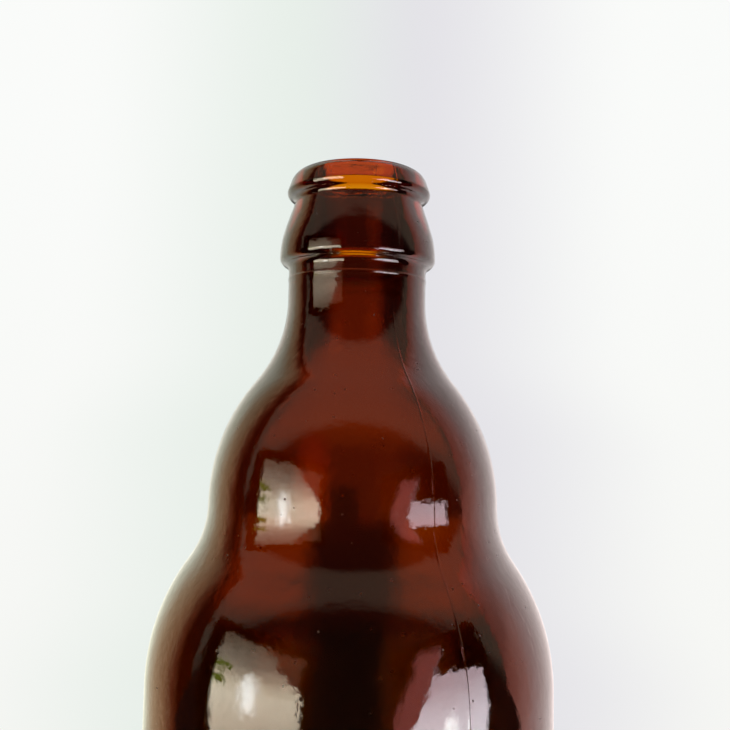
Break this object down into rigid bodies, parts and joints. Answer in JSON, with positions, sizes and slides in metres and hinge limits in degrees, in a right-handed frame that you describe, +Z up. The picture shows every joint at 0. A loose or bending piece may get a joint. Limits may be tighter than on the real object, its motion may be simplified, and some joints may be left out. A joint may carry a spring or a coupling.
{
  "type": "glass beer bottle",
  "caption": "Empty brown glass beer bottle with a crown-cap mouth, a short neck, two rounded shoulders and a pushed-up base.",
  "frame": {"origin": "on the bottle's axis, at the plane that its bearing ring stands on", "axes": "+Z up along the axis to the mouth, -Y towards the viewer of the picture"},
  "size_m": [0.0726, 0.0726, 0.1655],
  "materials": {
    "amber_glass": "gloss"
  },
  "bodies": {
    "root": {"bottle": "amber_glass"}
  },
  "joints": []
}
